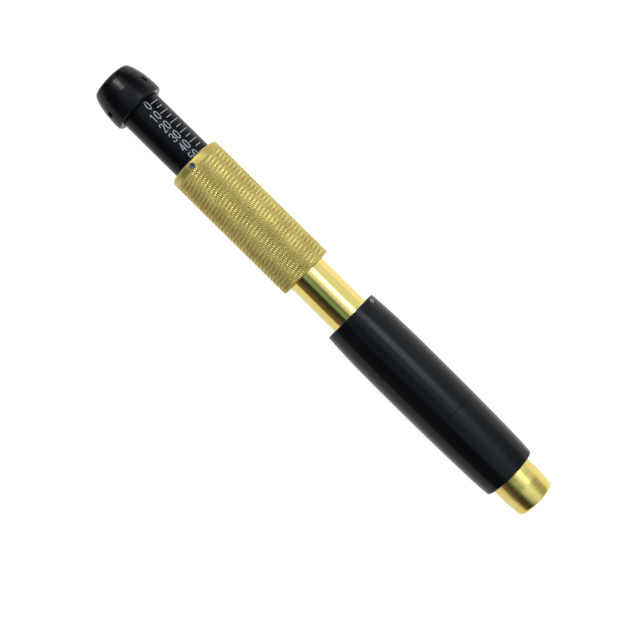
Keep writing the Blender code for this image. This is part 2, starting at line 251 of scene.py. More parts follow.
class Surface:
    """A procedural material on one Principled shader, with helpers that add its texture nodes."""

    def __init__(self, name, colour, roughness, metallic=0.0):
        self.material = bpy.data.materials.new(name)
        self.material.use_nodes = True
        self.tree = self.material.node_tree
        self.shader = self.tree.nodes["Principled BSDF"]
        self.shader.inputs["Metallic"].default_value = metallic
        self.shader.inputs["Roughness"].default_value = roughness
        self.shader.inputs["Base Color"].default_value = (*colour, 1.0)
        self.where = self.tree.nodes.new("ShaderNodeTexCoord").outputs["Object"]
        self.height = None

    def noise(self, size, detail=3.0, stretch=(1, 1, 1)):
        """Noise whose features are about size millimetres across."""
        mapping = self.tree.nodes.new("ShaderNodeMapping")
        mapping.inputs["Scale"].default_value = stretch
        self.tree.links.new(self.where, mapping.inputs["Vector"])
        texture = self.tree.nodes.new("ShaderNodeTexNoise")
        texture.inputs["Scale"].default_value = 1.0 / (size * MM)
        texture.inputs["Detail"].default_value = detail
        self.tree.links.new(mapping.outputs["Vector"], texture.inputs["Vector"])
        return texture.outputs["Fac"]

    def rings(self, pitch, wobble=0.6):
        """Turning marks: bands along X at that pitch in millimetres."""
        texture = self.tree.nodes.new("ShaderNodeTexWave")
        texture.wave_type = "BANDS"
        texture.bands_direction = "X"
        texture.inputs["Scale"].default_value = 2 * math.pi / (20 * pitch * MM)
        texture.inputs["Distortion"].default_value = wobble
        texture.inputs["Detail"].default_value = 2.0
        self.tree.links.new(self.where, texture.inputs["Vector"])
        return texture.outputs["Fac"]

    def spread(self, value, low, high, start=0.35, end=0.65):
        """Map a texture value to a range."""
        node = self.tree.nodes.new("ShaderNodeMapRange")
        node.inputs["From Min"].default_value = start
        node.inputs["From Max"].default_value = end
        node.inputs["To Min"].default_value = low
        node.inputs["To Max"].default_value = high
        self.tree.links.new(value, node.inputs["Value"])
        return node.outputs["Result"]

    def vary_roughness(self, value, low, high):
        self.tree.links.new(self.spread(value, low, high), self.shader.inputs["Roughness"])

    def vary_colour(self, value, first, second, start=0.35, end=0.65):
        ramp = self.tree.nodes.new("ShaderNodeValToRGB")
        ramp.color_ramp.elements[0].position = start
        ramp.color_ramp.elements[1].position = end
        ramp.color_ramp.elements[0].color = (*first, 1.0)
        ramp.color_ramp.elements[1].color = (*second, 1.0)
        self.tree.links.new(value, ramp.inputs["Fac"])
        self.tree.links.new(ramp.outputs["Color"], self.shader.inputs["Base Color"])

    def bump(self, value, depth, strength=0.5):
        """Add relief of that depth in micrometres on top of any earlier one."""
        node = self.tree.nodes.new("ShaderNodeBump")
        node.inputs["Strength"].default_value = strength
        node.inputs["Distance"].default_value = depth * 1e-6
        self.tree.links.new(value, node.inputs["Height"])
        if self.height is not None:
            self.tree.links.new(self.height, node.inputs["Normal"])
        self.height = node.outputs["Normal"]
        self.tree.links.new(self.height, self.shader.inputs["Normal"])
        return self


GOLD = (0.68, 0.555, 0.17)
GOLD_DEEP = (0.62, 0.48, 0.12)
AROUND = (1, 0.15, 0.15)


def satin_gold():
    """Anodised gold with fine turning marks."""
    made = Surface("satin_gold_anodised", GOLD, 0.3, 1.0)
    made.vary_colour(made.noise(6.0), GOLD_DEEP, GOLD)
    made.vary_roughness(made.noise(1.2, 4.0, AROUND), 0.24, 0.29)
    made.bump(made.rings(0.22), 2.0, 0.3)
    made.bump(made.noise(0.25, 2.0, AROUND), 1.5, 0.3)
    return made.material


def knurled_gold():
    """The gold on cut studs: a little rougher, its colour darkened throughout as painted shade between the studs,
    and deeper in colour in patches.
    """
    made = Surface("knurled_gold_anodised", GOLD, 0.36, 1.0)
    # painted shade: both colours sit well below GOLD, which darkens the knurl as if light were trapped between its
    # studs
    made.vary_colour(made.noise(5.0), (0.485, 0.38, 0.11), (0.59, 0.47, 0.145))
    made.vary_roughness(made.noise(0.6, 4.0), 0.38, 0.48)
    made.bump(made.noise(0.12, 3.0), 5.0, 0.5)
    return made.material


def blasted_gold():
    """Matt blasted gold, for the plain ends of the sleeve."""
    made = Surface("blasted_gold_anodised", GOLD_DEEP, 0.52, 1.0)
    made.vary_colour(made.noise(4.0), (0.50, 0.40, 0.12), (0.59, 0.48, 0.155))
    made.vary_roughness(made.noise(1.0, 4.0), 0.48, 0.56)
    made.bump(made.noise(0.10, 3.0), 6.0, 0.6)
    return made.material


def polished_gold():
    """Mirror-polished gold with the faintest polishing lines."""
    made = Surface("polished_gold_anodised", GOLD, 0.06, 1.0)
    made.vary_colour(made.noise(12.0), (0.66, 0.53, 0.155), (0.70, 0.575, 0.18))
    made.vary_roughness(made.noise(0.8, 5.0, AROUND), 0.045, 0.09)
    made.bump(made.noise(0.4, 2.0, AROUND), 0.6, 0.25)
    return made.material


def black_anodised(name, rough_low, rough_high, specular):
    """Satin black anodised aluminium with a fine blasted grain."""
    made = Surface(name, (0.004, 0.0042, 0.005), 0.3)
    made.vary_colour(made.noise(8.0), (0.0025, 0.0028, 0.0034), (0.004, 0.0043, 0.005))
    made.vary_roughness(made.noise(1.5, 4.0), rough_low, rough_high)
    made.bump(made.noise(0.10, 2.0), 4.0, 0.35)
    made.bump(made.rings(0.3), 1.0, 0.3)
    made.shader.inputs["Specular IOR Level"].default_value = specular
    return made.material


def white_paint():
    """Fired white paint of the scale, slightly uneven."""
    made = Surface("scale_paint", (0.8, 0.8, 0.8), 0.55)
    made.vary_colour(made.noise(0.6, 4.0), (0.25, 0.26, 0.28), (0.35, 0.36, 0.39))
    made.vary_roughness(made.noise(0.5), 0.45, 0.65)
    made.bump(made.noise(0.08, 3.0), 6.0, 0.5)
    return made.material


def turned_steel():
    made = Surface("turned_steel", (0.60, 0.60, 0.59), 0.3, 1.0)
    made.vary_colour(made.noise(2.0), (0.52, 0.52, 0.52), (0.66, 0.66, 0.64))
    made.vary_roughness(made.noise(0.7, 4.0), 0.22, 0.36)
    made.bump(made.rings(0.15), 3.0, 0.4)
    return made.material


def blued_steel():
    made = Surface("blued_steel", (0.10, 0.12, 0.17), 0.3, 1.0)
    made.vary_colour(made.noise(0.5), (0.08, 0.10, 0.16), (0.19, 0.21, 0.27))
    made.vary_roughness(made.noise(0.3), 0.25, 0.4)
    made.bump(made.noise(0.1), 4.0, 0.4)
    return made.material


def spring_wire():
    made = Surface("spring_wire", (0.33, 0.33, 0.34), 0.3, 1.0)
    made.vary_colour(made.noise(1.5), (0.26, 0.26, 0.27), (0.40, 0.40, 0.41))
    made.vary_roughness(made.noise(0.5), 0.25, 0.4)
    made.bump(made.noise(0.15), 3.0, 0.4)
    return made.material


def bearing_bronze():
    made = Surface("bearing_bronze", (0.55, 0.36, 0.17), 0.4, 1.0)
    made.vary_colour(made.noise(1.0, 4.0), (0.44, 0.27, 0.12), (0.60, 0.41, 0.21))
    made.vary_roughness(made.noise(0.5, 4.0), 0.32, 0.5)
    made.bump(made.rings(0.2), 4.0, 0.4)
    return made.material


def seal_rubber():
    made = Surface("seal_rubber", (0.02, 0.02, 0.02), 0.6)
    made.vary_colour(made.noise(1.0), (0.015, 0.015, 0.016), (0.03, 0.03, 0.03))
    made.vary_roughness(made.noise(0.4), 0.5, 0.75)
    made.bump(made.noise(0.12), 6.0, 0.5)
    return made.material


def white_polymer():
    made = Surface("white_polymer", (0.78, 0.77, 0.72), 0.45)
    made.vary_colour(made.noise(2.0), (0.74, 0.73, 0.67), (0.82, 0.81, 0.77))
    made.vary_roughness(made.noise(0.6), 0.38, 0.55)
    made.shader.inputs["Subsurface Weight"].default_value = 0.1
    made.shader.inputs["Subsurface Scale"].default_value = 0.001
    made.bump(made.rings(0.2), 3.0, 0.3)
    return made.material


SATIN_GOLD = satin_gold()
KNURLED_GOLD = knurled_gold()
BLASTED_GOLD = blasted_gold()
POLISHED_GOLD = polished_gold()
GRIP_BLACK = black_anodised("black_anodised_grip", 0.15, 0.20, 0.17)
KNOB_BLACK = black_anodised("black_anodised_knob", 0.20, 0.26, 0.14)
SCALE_BLACK = black_anodised("black_anodised_scale", 0.20, 0.26, 0.12)
PAINT = white_paint()
STEEL = turned_steel()
BLUED = blued_steel()
WIRE = spring_wire()
BRONZE = bearing_bronze()
RUBBER = seal_rubber()
POLYMER = white_polymer()


def finish_piece(piece, material, body, slot=None, *nodes):
    """Give a piece its material and the body it rides on, and hide the nodes it stands for. The slot argument is
    not used.
    """
    piece.data.materials.clear()
    piece.data.materials.append(material)
    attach(piece, body)
    if nodes:
        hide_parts(*nodes)
    return piece


# ---------------------------------------------------------------- barrel

RIM_ROUND = 1.1
RIM_R = 6.55
MOUTH_R = 5.25
MOUTH_CHAMFER = 0.5
SOCKET_R = 4.75
SOCKET_DEPTH = 10.0
SEAL_GROOVE = (5.8, 7.6)
SEAL_GROOVE_R = 5.7
SPIGOT_R = 5.0
GUIDE_SEAT = 14.0
GUIDE_BORE_R = 3.6
ROD_BORE_R = 2.9


def make_nose():
    """The nose with its rounded rim, the ampoule socket and the spigot behind it."""
    turns = [math.radians(7.5 * n) for n in range(13)]
    rim = [
        (RIM_ROUND - RIM_ROUND * math.cos(turn), RIM_R + RIM_ROUND * math.sin(turn), 0)
        for turn in turns
    ]
    nose = turned("nose", rounded([
        (NOSE_FRONT, MOUTH_R, 0.1), *rim, (2.7, 7.84, 3.0), (4.1, 7.95, 5.0), (5.5, 8.06, 5.0),
        (7.0, 8.16, 5.0), (8.2, 8.13, 5.0), (9.6, 8.08, 5.0), (NOSE_REAR, NOSE_END_R, 0.12),
        (NOSE_REAR, SPIGOT_R, 0), (SPIGOT_REAR, SPIGOT_R, 0.3), (SPIGOT_REAR, GUIDE_BORE_R, 0),
        (GUIDE_SEAT, GUIDE_BORE_R, 0), (GUIDE_SEAT, ROD_BORE_R, 0),
        (SOCKET_DEPTH, ROD_BORE_R, 0.1), (SOCKET_DEPTH, SOCKET_R, 0.15),
        (SEAL_GROOVE[1], SOCKET_R, 0.08), (SEAL_GROOVE[1], SEAL_GROOVE_R, 0),
        (SEAL_GROOVE[0], SEAL_GROOVE_R, 0), (SEAL_GROOVE[0], SOCKET_R, 0.08),
        (MOUTH_CHAMFER, SOCKET_R, 0.1),
    ]))
    finish_piece(nose, SATIN_GOLD, "barrel", "satin_gold", "nose_socket")


STOP_GROOVE = (49.85, 51.65)
STOP_GROOVE_R = 6.5
HAMMER_BORE_R = 5.2
SPRING_BORE_R = 6.15
SPRING_BORE_FRONT = 97.4
SLOT_HALF_WIDTH = 1.7
SLOT_END = 1.8


def make_tube():
    """The polished inner tube with its two slots for the cocking pins."""
    tube = turned("polished_tube", rounded([
        (TUBE_FRONT, TUBE_R - 0.3, 0.05), (TUBE_FRONT + 0.3, TUBE_R, 0.1),
        (STOP_GROOVE[0], TUBE_R, 0.05), (STOP_GROOVE[0], STOP_GROOVE_R, 0),
        (STOP_GROOVE[1], STOP_GROOVE_R, 0), (STOP_GROOVE[1], TUBE_R, 0.05),
        (TUBE_REAR, TUBE_R, 0.1), (TUBE_REAR, SPRING_BORE_R, 0),
        (SPRING_BORE_FRONT, SPRING_BORE_R, 0), (SPRING_BORE_FRONT, HAMMER_BORE_R, 0),
        (TUBE_FRONT, HAMMER_BORE_R, 0),
    ]))
    station, _, _, _ = middle("cocking_pin_a")
    for angle in (90.0, -90.0):
        carve(tube, slot_bar(station, station + travel("grip_slide"), angle))
    finish_piece(tube, POLISHED_GOLD, "barrel", "polished_gold", "main_tube")


def slot_bar(front, rear, angle):
    """A bar with round ends that cuts one slot through the tube's wall."""
    inner, thickness = 4 * MM, 6 * MM
    bm = bmesh.new()
    corners = []
    for centre, first in ((front, 90.0), (rear, -90.0)):
        for step in range(13):
            turn = math.radians(first + 15.0 * step)
            along = centre + SLOT_END * math.cos(turn)
            across = SLOT_HALF_WIDTH * math.sin(turn)
            corners.append(bm.verts.new((-along * MM, across * MM, inner)))
    face = bm.faces.new(corners)
    grown = bmesh.ops.extrude_face_region(bm, geom=[face])
    moved = [item for item in grown["geom"] if isinstance(item, bmesh.types.BMVert)]
    bmesh.ops.translate(bm, verts=moved, vec=(0, 0, thickness))
    turn = Matrix.Rotation(math.radians(-angle), 4, "X")
    bmesh.ops.transform(bm, matrix=turn, verts=bm.verts)
    return link(bm, "cutter")


KNURL_FRONT = SLEEVE_FRONT + 0.15
KNURL_REAR = SLEEVE_REAR - 2.75
KNURL_ROW = 1.48
KNURL_COLUMNS = 184
KNURL_DEPTH = 0.19
KNURL_LEAD_ROWS = 6
STUD_POINT = 0.16
STUD_TOP = (0.3, 0.42)
STUD_UNEVEN = 0.035
STUD_SHIFT = 0.1
RING_GROOVE = (158.2, 160.2)
RING_GROOVE_R = 8.65
SCALE_BORE_FRONT = 120.9


def make_sleeve():
    """The sleeve's plain parts: bore, rounded rear band, front lip, and the index screw's hole."""
    floor = SLEEVE_R - KNURL_DEPTH - 0.06
    band = SLEEVE_R - 0.05
    sleeve = turned("sleeve_core", rounded([
        (SLEEVE_FRONT, TUBE_BORE_R, 0.1), (SLEEVE_FRONT, band - 0.12, 0.15),
        (KNURL_FRONT + 0.3, floor, 0), (KNURL_REAR - 0.3, floor, 0),
        (KNURL_REAR - 0.02, band, 0.1), (SLEEVE_REAR, band, 0.95), (SLEEVE_REAR, SCALE_BORE_R, 0.1),
        (RING_GROOVE[1], SCALE_BORE_R, 0), (RING_GROOVE[1], RING_GROOVE_R, 0),
        (RING_GROOVE[0], RING_GROOVE_R, 0), (RING_GROOVE[0], SCALE_BORE_R, 0),
        (SCALE_BORE_FRONT, SCALE_BORE_R, 0), (SCALE_BORE_FRONT, TUBE_BORE_R, 0),
    ]))
    station, angle, _, _ = middle("index_screw")
    carve(sleeve, hole_cutter(station, angle, 6.0, band - 0.08, 1.0))
    finish_piece(sleeve, BLASTED_GOLD, "barrel", "satin_gold", "knurled_sleeve")
    screw = grub_screw("index_grub_screw", "index_screw", 0.92, 0.42)
    finish_piece(screw, BLUED, "barrel", "dark_steel", "index_screw")


def make_knurl():
    """Rows of cut studs that lean a little round the sleeve, each row half a stud out of step.

    The rows run past both ends of the knurl, and are then trimmed and closed down into the core.
    """
    crest = SLEEVE_R
    valley = SLEEVE_R - KNURL_DEPTH
    rows = math.ceil((KNURL_REAR - KNURL_FRONT) / KNURL_ROW)
    bm = bmesh.new()
    made = {}

    def at(column, row):
        """Station and angle of a lattice place."""
        station = KNURL_FRONT + KNURL_ROW * (row + KNURL_LEAD_ROWS * column / KNURL_COLUMNS)
        return Vector((station, 360.0 * column / KNURL_COLUMNS))

    def corner(column, row, end):
        """The pointed end of the stud at a column and row: -1 its front end, +1 its rear end."""
        turns, inside = divmod(column, KNURL_COLUMNS)
        key = inside, row + KNURL_LEAD_ROWS * turns, end
        if key not in made:
            station, angle = at(inside, key[1] + end * (0.5 + STUD_POINT))
            made[key] = bm.verts.new(point(station, valley, angle))
        return made[key]

    def uneven(column, row):
        """A fixed number from 0 to 1 that differs from stud to stud."""
        return math.sin(column * 12.9898 + row * 78.233) * 43758.5453 % 1.0

    spare = 2
    for column in range(KNURL_COLUMNS):
        for row in range(-KNURL_LEAD_ROWS - spare, rows + spare):
            if (column + row) % 2:
                continue
            height = crest - STUD_UNEVEN * uneven(column, row)
            shift = STUD_SHIFT * (uneven(row, column) - 0.5)
            low = [
                corner(column, row, -1), corner(column + 1, row - 1, 1),
                corner(column + 1, row + 1, -1), corner(column, row, 1),
                corner(column - 1, row + 1, -1), corner(column - 1, row - 1, 1),
            ]
            around = [
                (0, -0.5 - STUD_POINT), (1, STUD_POINT - 0.5), (1, 0.5 - STUD_POINT),
                (0, 0.5 + STUD_POINT), (-1, 0.5 - STUD_POINT), (-1, STUD_POINT - 0.5),
            ]
            top = []
            for across, along in around:
                place = at(column + across * STUD_TOP[1], row + along * STUD_TOP[0] + shift)
                top.append(bm.verts.new(point(place.x, height, place.y)))
            for n in range(6):
                other = (n + 1) % 6
                bm.faces.new((low[n], low[other], top[other], top[n]))
            bm.faces.new(top)
    ends = ((KNURL_FRONT, 1.0), (KNURL_REAR, -1.0))
    for station, side in ends:
        geometry = [*bm.verts, *bm.edges, *bm.faces]
        bmesh.ops.bisect_plane(
            bm, geom=geometry, plane_co=point(station, 0), plane_no=(side, 0, 0), clear_outer=True
        )
    rim = [edge for edge in bm.edges if edge.is_boundary]
    skirt = bmesh.ops.extrude_edge_only(bm, edges=rim)
    lowered = [item for item in skirt["geom"] if isinstance(item, bmesh.types.BMVert)]
    buried = 0.3
    for vertex in lowered:
        shrink = (valley - buried) * MM / vertex.co.yz.length
        vertex.co.y *= shrink
        vertex.co.z *= shrink
    knurl = link(bm, "sleeve_knurl", 12.0)
    finish_piece(knurl, KNURLED_GOLD, "barrel", "satin_gold")


# ---------------------------------------------------------------- grip

GRIP_FULLEST = 58.0
GRIP_FRONT_DROP = 0.7
GRIP_LIP_DROP = 0.3
GRIP_BORE_R = 9.5
GRIP_SPRING_SEAT = 19.5
SHELL_SPIGOT_R = 10.25
SHELL_SOCKET_R = 10.5
SEAM_HALF = 0.04


def grip_radius(station):
    """The grip's barrel shape, as the CAD has it."""
    if station < GRIP_FULLEST:
        share = (GRIP_FULLEST - station) / (GRIP_FULLEST - GRIP_FRONT)
        return GRIP_MID_R - GRIP_FRONT_DROP * share**2.1 - GRIP_LIP_DROP * share**14
    share = (station - GRIP_FULLEST) / (GRIP_REAR - GRIP_FULLEST)
    return GRIP_MID_R - (GRIP_MID_R - GRIP_END_R) * share**3.05


def grip_line(front, rear, steps):
    stations = [front + (rear - front) * n / steps for n in range(steps + 1)]
    return [(station, grip_radius(station), 0) for station in stations]


def make_grip():
    """Two shells that meet at a fine seam, with eased edges at every end."""
    ahead, behind = GRIP_SEAM - SEAM_HALF, GRIP_SEAM + SEAM_HALF
    edge = 0.08
    seam_r = grip_radius(GRIP_SEAM) - edge
    socket_end = SPIGOT_END + 0.3
    front = turned("front_grip_shell", rounded([
        (GRIP_FRONT, TUBE_BORE_R, 0.1), (GRIP_FRONT, grip_radius(GRIP_FRONT) - 0.3, 0.08),
        *grip_line(GRIP_FRONT + 0.25, ahead - edge, 40), (ahead, seam_r, 0),
        (ahead, SHELL_SPIGOT_R, 0), (SPIGOT_END, SHELL_SPIGOT_R, 0.2),
        (SPIGOT_END, GRIP_BORE_R, 0), (GRIP_SPRING_SEAT, GRIP_BORE_R, 0.2),
        (GRIP_SPRING_SEAT, TUBE_BORE_R, 0.1),
    ]))
    finish_piece(front, GRIP_BLACK, "grip", "black_anodised", "grip_front_shell")
    rear = turned("rear_grip_shell", rounded([
        (behind, SHELL_SOCKET_R, 0), (behind, seam_r, 0),
        *grip_line(behind + edge, GRIP_REAR - 0.2, 30),
        (GRIP_REAR, GRIP_END_R - 0.22, 0.08), (GRIP_REAR, GRIP_BORE_R, 0.1),
        (socket_end, GRIP_BORE_R, 0), (socket_end, SHELL_SOCKET_R, 0),
    ]))
    station, angle, _, _ = middle("grip_screw")
    carve(rear, hole_cutter(station, angle, 8.0, grip_radius(station) - 0.1, 0.98))
    finish_piece(rear, GRIP_BLACK, "grip", "black_anodised", "grip_rear_shell")
    screw = grub_screw("grip_grub_screw", "grip_screw", 0.92, 0.45)
    finish_piece(screw, WIRE, "grip", "steel", "grip_screw")


# ---------------------------------------------------------------- scale

UNIT = 0.46
TICK_WIDTH = 0.27
LONG_TICK = (28.5, 59.5)
SHORT_TICK = (33.0, 53.5)
UNITS_DIGIT = 19.0
TENS_DIGIT = 5.6
DIGIT_SHIFT = 0.35
# height and width of a digit's centre line, and the width of its stroke
DIGIT_HEIGHT = 3.285
DIGIT_WIDTH = 1.185
STROKE = 0.30
PAINT_LOW = SCALE_R - 0.1
PAINT_HIGH = SCALE_R + 0.035

# centre lines of the digits in a unit square, x to the right and y up, and their sharp corners
DIGITS = {
    "0": [(0.5, 1), (0.1, 0.82), (0, 0.5), (0.1, 0.18), (0.5, 0), (0.9, 0.18), (1, 0.5),
          (0.9, 0.82), (0.5, 1)],
    "1": [(0.2, 0.8), (0.42, 0.9), (0.55, 1), (0.55, 0.66), (0.55, 0.33), (0.55, 0)],
    "2": [(0.02, 0.74), (0.16, 0.94), (0.5, 1), (0.86, 0.93), (0.97, 0.72), (0.82, 0.48),
          (0.4, 0.22), (0, 0), (0.5, 0), (1, 0)],
    "3": [(0.03, 0.82), (0.22, 0.97), (0.55, 1), (0.88, 0.88), (0.86, 0.64), (0.45, 0.53),
          (0.88, 0.44), (1, 0.24), (0.8, 0.05), (0.45, 0), (0.14, 0.04), (0, 0.2)],
    "4": [(1, 0.28), (0.5, 0.28), (0, 0.28), (0.36, 0.64), (0.72, 1), (0.72, 0.5), (0.72, 0)],
    "5": [(0.92, 1), (0.5, 1), (0.14, 1), (0.08, 0.55), (0.4, 0.63), (0.75, 0.58), (1, 0.36),
          (0.86, 0.1), (0.45, 0), (0.12, 0.05), (0, 0.18)],
}
SHARP_TURNS = {"1": (2,), "2": (7,), "3": (5,), "4": (2, 4), "5": (2, 3)}


def spline(a, b, c, d, steps=6):
    """Catmull-Rom points from b up to c, with a before them and d after."""
    run = []
    for step in range(steps):
        t = step / steps
        run.append(0.5 * (2 * b + (c - a) * t + (2 * a - 5 * b + 4 * c - d) * t * t
                          + (3 * b - a - 3 * c + d) * t**3))
    return run


def smooth_run(points):
    """A smooth curve through a run of places."""
    padded = [points[0], *points, points[-1]]
    run = []
    for a, b, c, d in zip(padded, padded[1:], padded[2:], padded[3:]):
        run.extend(spline(a, b, c, d))
    return [*run, points[-1]]


def closed_run(points):
    """A smooth curve round a loop whose last place repeats the first."""
    loop = points[:-1]
    run = []
    for index in range(len(loop)):
        run.extend(spline(*(loop[(index + n) % len(loop)] for n in (-1, 0, 1, 2))))
    return run


def painted(bm, outline_left, outline_right, closed=False):
    """A raised strip of paint between two rows of (station, angle) places."""
    count = len(outline_left)
    rows = []
    for left, right in zip(outline_left, outline_right):
        rows.append([
            bm.verts.new(point(left[0], PAINT_LOW, left[1])),
            bm.verts.new(point(left[0], PAINT_HIGH, left[1])),
            bm.verts.new(point(right[0], PAINT_HIGH, right[1])),
            bm.verts.new(point(right[0], PAINT_LOW, right[1])),
        ])
    for index in range(count if closed else count - 1):
        here, there = rows[index], rows[(index + 1) % count]
        for n in range(4):
            other = (n + 1) % 4
            bm.faces.new((here[n], here[other], there[other], there[n]))
    if not closed:
        bm.faces.new(rows[0])
        bm.faces.new(rows[-1])


def stroke(bm, places, width, closed=False):
    """Paint a line of that width through (station, arc) places, both in millimetres."""
    left, right = [], []
    count = len(places)
    for index, here in enumerate(places):
        before = places[index - 1] if closed or index else here
        after = places[(index + 1) % count] if closed or index < count - 1 else here
        along = (after - before).normalized()
        across = Vector((-along.y, along.x)) * width / 2
        to_angle = 180.0 / (math.pi * SCALE_R)
        for row, place in ((left, here + across), (right, here - across)):
            row.append((place.x, place.y * to_angle))
    painted(bm, left, right, closed)


def paint_digit(bm, digit, station, angle):
    """A digit centred on a station, its top towards the knob and its right side towards +Y."""
    arc = math.radians(angle) * SCALE_R
    places = [
        Vector((station + (y - 0.5) * DIGIT_HEIGHT, arc + (x - 0.5) * DIGIT_WIDTH))
        for x, y in DIGITS[digit]
    ]
    if places[0] == places[-1]:
        stroke(bm, closed_run(places), STROKE, True)
        return
    breaks = [0, *SHARP_TURNS[digit], len(places) - 1]
    overrun = STROKE * 0.35
    for first, last in zip(breaks, breaks[1:]):
        run = places[first:last + 1]
        ahead = (run[-1] - run[-2]).normalized() * overrun
        back = (run[0] - run[1]).normalized() * overrun
        stroke(bm, smooth_run([run[0] + back, *run[1:-1], run[-1] + ahead]), STROKE)


def paint_tick(bm, station, ends):
    arcs = [math.radians(ends[0] + (ends[1] - ends[0]) * n / 10) * SCALE_R for n in range(11)]
    stroke(bm, [Vector((station, arc)) for arc in arcs], TICK_WIDTH)


def make_scale():
    """The black tube with its white ticks every 5 units and digits every 10."""
    bore_r = 6.3
    edge = 0.3
    tube = turned("scale_tube", rounded([
        (SCALE_FRONT, bore_r, 0.1), (SCALE_FRONT, SCALE_R - edge, 0.1),
        (SCALE_FRONT + edge, SCALE_R, 0.1), (SCALE_REAR - edge, SCALE_R, 0.1),
        (SCALE_REAR, SCALE_R - edge, 0.1), (SCALE_REAR, bore_r, 0.1),
    ]))
    finish_piece(tube, SCALE_BLACK, "dose_tube", "black_anodised", "graduated_tube")
    zero = SLEEVE_REAR + 50 * UNIT + 0.3
    bm = bmesh.new()
    for units in range(0, 55, 5):
        station = zero - units * UNIT
        if units % 10:
            paint_tick(bm, station, SHORT_TICK)
            continue
        paint_tick(bm, station, LONG_TICK)
        paint_digit(bm, "0", station + DIGIT_SHIFT, UNITS_DIGIT)
        if units:
            paint_digit(bm, str(units // 10), station + DIGIT_SHIFT, TENS_DIGIT)
    marks = link(bm, "scale_marks", 50.0)
    finish_piece(marks, PAINT, "dose_tube", "white_polymer")


# ---------------------------------------------------------------- knob

def make_knob():
    """The domed knob with its chamfered skirt and three grub screws."""
    _, tube_end, _ = span("trigger_tube")
    bore_r = 5.2
    bore_end = tube_end + 0.3
    floor = SCALE_REAR + 2.7
    knob = turned("domed_knob", rounded([
        (KNOB_SKIRT, SCALE_BORE_R, 0.08), (KNOB_SKIRT, 9.4, 0.1), (191.8, 9.83, 0.3),
        (192.9, KNOB_R, 0.3), (194.4, KNOB_R, 3.0), (196.0, 9.86, 5.0), (198.5, 9.62, 5.0),
        (201.0, 9.13, 5.0), (203.0, 8.57, 4.0), (204.5, 7.97, 0.8), (OVERALL, 7.4, 0.25),
        (OVERALL, 0.0, 0), (bore_end, 0.0, 0), (bore_end, bore_r, 0), (floor, bore_r, 0),
        (floor, SCALE_BORE_R, 0),
    ]))
    for number in (1, 2, 3):
        node = f"knob_screw_{number}"
        station, angle, _, _ = middle(node)
        carve(knob, hole_cutter(station, angle, 4.0, 9.4, 0.88))
        screw = grub_screw(f"knob_grub_screw_{number}", node, 0.8, 0.42)
        finish_piece(screw, BLUED, "trigger", "dark_steel", node)
    finish_piece(knob, KNOB_BLACK, "trigger", "black_anodised", "trigger_knob")


# ---------------------------------------------------------------- springs

def make_spring(node, name, body, turns, wire_r, start=0.0, stop=1.0):
    """A coil spring of round wire with a flat coil at each end, or a share of its turns.
    """
    front, rear, radius = span(node)
    mean_r = radius - wire_r
    steps, corners = 40, 10
    count = int(turns * steps)
    flat_rise = 2.04 * wire_r / steps
    spare = rear - front - 2 * wire_r - flat_rise * count
    open_rise = flat_rise + spare / (count - 2 * steps)
    stations = [front + wire_r]
    for index in range(count):
        rise = open_rise if steps <= index < count - steps else flat_rise
        stations.append(stations[-1] + rise)
    first, last = round(start * count), round(stop * count)
    bm = bmesh.new()
    loops = []
    for index in range(first, last + 1):
        loop = []
        for corner in range(corners):
            around = 2 * math.pi * corner / corners
            station = stations[index] + wire_r * math.sin(around)
            distance = mean_r + wire_r * math.cos(around)
            loop.append(bm.verts.new(point(station, distance, 360.0 * index / steps)))
        loops.append(loop)
    for before, after in zip(loops, loops[1:]):
        for corner in range(corners):
            other = (corner + 1) % corners
            bm.faces.new((before[corner], before[other], after[other], after[corner]))
    bm.faces.new(loops[0])
    bm.faces.new(loops[-1])
    spring = link(bm, name, 60.0)
    finish_piece(spring, WIRE, body, "steel", node)
    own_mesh(spring)


def make_springs():
    """The three springs. The main one is in two parts, since it shortens from both its ends.

    The parts stand one step of the coil apart, so that their cut ends don't touch.
    """
    make_spring("grip_return_spring", "grip_return_coils", "grip", 7.5, 0.55)
    make_spring("main_spring", "main_coils_front", "hammer", 17.0, 0.7,
                stop=0.54)
    make_spring("main_spring", "main_coils_rear", "dose_carrier", 17.0, 0.7,
                start=0.5415)
    make_spring("trigger_return_spring", "trigger_return_coils", "trigger", 8.0, 0.33)


# ---------------------------------------------------------------- inner pieces

def finish_inner_nodes():
    """Materials of the CAD nodes that stay: everything inside the pen."""
    finishes = {
        "steel": STEEL, "dark_steel": BLUED, "bearing_bronze": BRONZE, "seal_rubber": RUBBER,
        "white_polymer": POLYMER, "satin_gold": SATIN_GOLD, "polished_gold": POLISHED_GOLD,
        "black_anodised": GRIP_BLACK,
    }
    slots = {part["node"]: part["material_slot"] for part in frame["record"]["subparts"]}
    for name, node in frame["nodes"].items():
        material = WIRE if name.endswith("_spring") else finishes[slots[name]]
        node.data.materials.clear()
        node.data.materials.append(material)
        shade(node)


# ---------------------------------------------------------------- studio

CAMERA_DISTANCE = 0.5136
CAMERA_LENS = 84.0
CAMERA_STATION = 96.4
CAMERA_ASIDE = -8.25
CAMERA_ROLL = 44.606
FLOOR_DROP = 0.0006
# the floor's painted light: its glow goes from the third number to the fourth between two places along Y, brighter
# on the softbox's +Y side and dimmer, as painted shade, on the -Y side
FLOOR_PAINTED_LIGHT = (-0.02, 0.03, 0.87, 1.10)


def make_camera():
    """Straight above the pen, rolled so that the nose points down to the right."""
    data = bpy.data.cameras.new("camera")
    data.lens = CAMERA_LENS
    data.sensor_width = 36.0
    data.clip_start = 0.01
    camera = bpy.data.objects.new("camera", data)
    camera.location = (-CAMERA_STATION * MM, CAMERA_ASIDE * MM, CAMERA_DISTANCE)
    camera.rotation_euler = (0.0, 0.0, math.radians(CAMERA_ROLL))
    bpy.context.collection.objects.link(camera)
    bpy.context.scene.camera = camera


